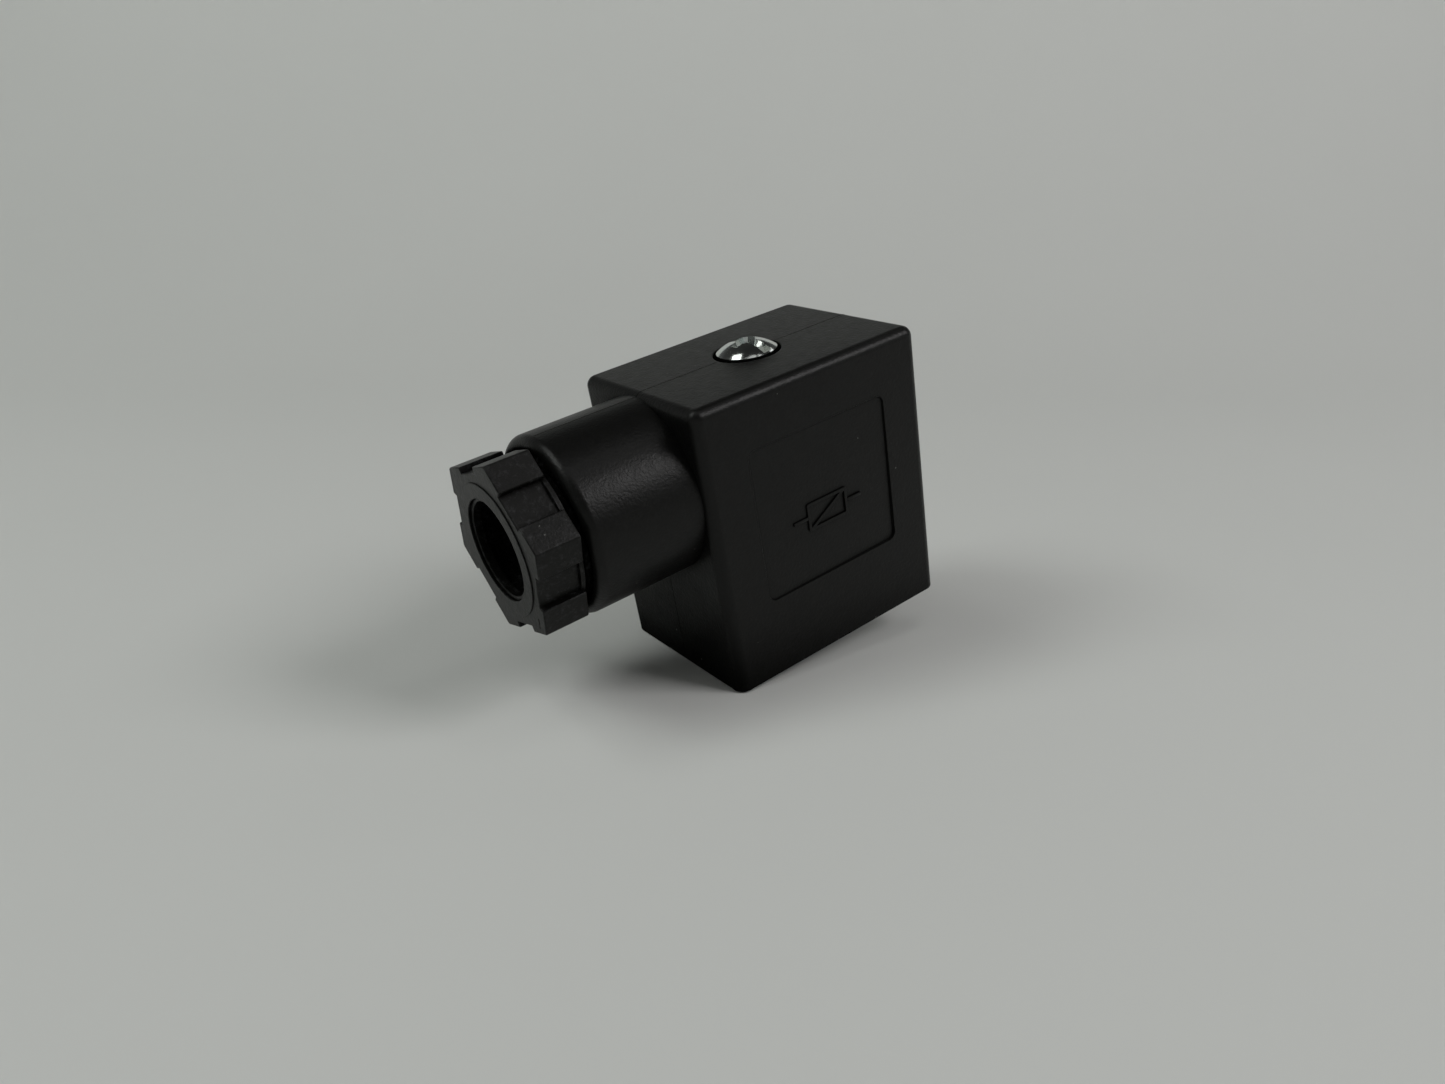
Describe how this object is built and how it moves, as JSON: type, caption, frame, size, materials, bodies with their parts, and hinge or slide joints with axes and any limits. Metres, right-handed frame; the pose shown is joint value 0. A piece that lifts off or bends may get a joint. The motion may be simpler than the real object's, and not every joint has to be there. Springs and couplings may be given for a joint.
{
  "type": "solenoid valve connector",
  "caption": "Rectangular plug-on connector for a solenoid coil, with a side cable gland, a pull-out contact insert with screw terminals and a captive fixing screw.",
  "frame": {"origin": "on the fixing screw's axis, in the plane of the mating face that lies on the coil", "axes": "+Z from the mating face up to the screw head, -X the way the cable leaves through the gland, -Y the side with the shallow flat panel"},
  "size_m": [0.0445, 0.0198, 0.0338],
  "materials": {
    "housing_plastic": "black moulded polyamide, fine satin texture",
    "gland_plastic": "black moulded polyamide, slightly rougher than the housing",
    "insert_plastic": "black glass-filled polyamide, satin",
    "washer_plastic": "black polyamide, smooth",
    "rubber": "black nitrile rubber, dull",
    "plated_screw": "bright zinc-plated steel, blue-white passivated",
    "plated_steel": "bright zinc-plated steel",
    "tinned_brass": "matt tin plate over brass",
    "spring_steel": "plain stainless spring steel"
  },
  "bodies": {
    "contact_insert": {"contact_insert": "insert_plastic", "face_gasket": "rubber", "contact_1": "tinned_brass", "contact_2": "tinned_brass", "contact_earth": "tinned_brass", "contact_spring_1": "spring_steel", "contact_spring_2": "spring_steel", "contact_spring_earth": "spring_steel"},
    "housing": {"housing": "housing_plastic", "cable_grommet": "rubber"},
    "screw_seal": {"screw_seal": "rubber"},
    "fixing_screw": {"fixing_screw": "plated_screw", "screw_retaining_ring": "rubber"},
    "thrust_washer": {"thrust_washer": "washer_plastic"},
    "gland_nut": {"gland_nut": "gland_plastic"},
    "clamp_plate_1": {"clamp_plate_1": "plated_steel"},
    "terminal_screw_1": {"terminal_screw_1": "plated_steel"},
    "clamp_plate_2": {"clamp_plate_2": "plated_steel"},
    "terminal_screw_2": {"terminal_screw_2": "plated_steel"},
    "clamp_plate_earth": {"clamp_plate_earth": "plated_steel"},
    "terminal_screw_earth": {"terminal_screw_earth": "plated_steel"}
  },
  "joints": [
    {"name": "housing_lift", "type": "slide", "parent": "contact_insert", "child": "housing", "axis": [0, 0, 1], "range_m": [0, 0.022]},
    {"name": "screw_slide", "type": "slide", "parent": "housing", "child": "screw_seal", "axis": [0, 0, -1], "range_m": [0, 0.002]},
    {"name": "screw_turn", "type": "hinge", "parent": "screw_seal", "child": "fixing_screw", "pos_m": [0, 0, 0.0287], "axis": [0, 0, -1], "continuous": true},
    {"name": "gland_slide", "type": "slide", "parent": "housing", "child": "thrust_washer", "axis": [1, 0, 0], "range_m": [-0.003, 0.0008]},
    {"name": "gland_turn", "type": "hinge", "parent": "thrust_washer", "child": "gland_nut", "pos_m": [-0.0308, 0, 0.0208], "axis": [1, 0, 0], "range_deg": [-767, 205]},
    {"name": "clamp_1_slide", "type": "slide", "parent": "contact_insert", "child": "clamp_plate_1", "axis": [0, 0, -1], "range_m": [0, 0.001]},
    {"name": "terminal_1_turn", "type": "hinge", "parent": "clamp_plate_1", "child": "terminal_screw_1", "pos_m": [-0.0067, -0.0047, 0.0152], "axis": [0, 0, -1], "range_deg": [0, 721]},
    {"name": "clamp_2_slide", "type": "slide", "parent": "contact_insert", "child": "clamp_plate_2", "axis": [0, 0, -1], "range_m": [0, 0.001]},
    {"name": "terminal_2_turn", "type": "hinge", "parent": "clamp_plate_2", "child": "terminal_screw_2", "pos_m": [-0.0067, 0.0047, 0.0152], "axis": [0, 0, -1], "range_deg": [0, 721]},
    {"name": "clamp_earth_slide", "type": "slide", "parent": "contact_insert", "child": "clamp_plate_earth", "axis": [0, 0, -1], "range_m": [0, 0.001]},
    {"name": "terminal_earth_turn", "type": "hinge", "parent": "clamp_plate_earth", "child": "terminal_screw_earth", "pos_m": [0.0082, 0, 0.0152], "axis": [0, 0, -1], "range_deg": [0, 721]}
  ],
  "couplings": [
    {"joint": "gland_turn", "follows": "gland_slide", "rad_per_m": 4456.2},
    {"joint": "terminal_1_turn", "follows": "clamp_1_slide", "rad_per_m": 12566},
    {"joint": "terminal_2_turn", "follows": "clamp_2_slide", "rad_per_m": 12566},
    {"joint": "terminal_earth_turn", "follows": "clamp_earth_slide", "rad_per_m": 12566}
  ]
}
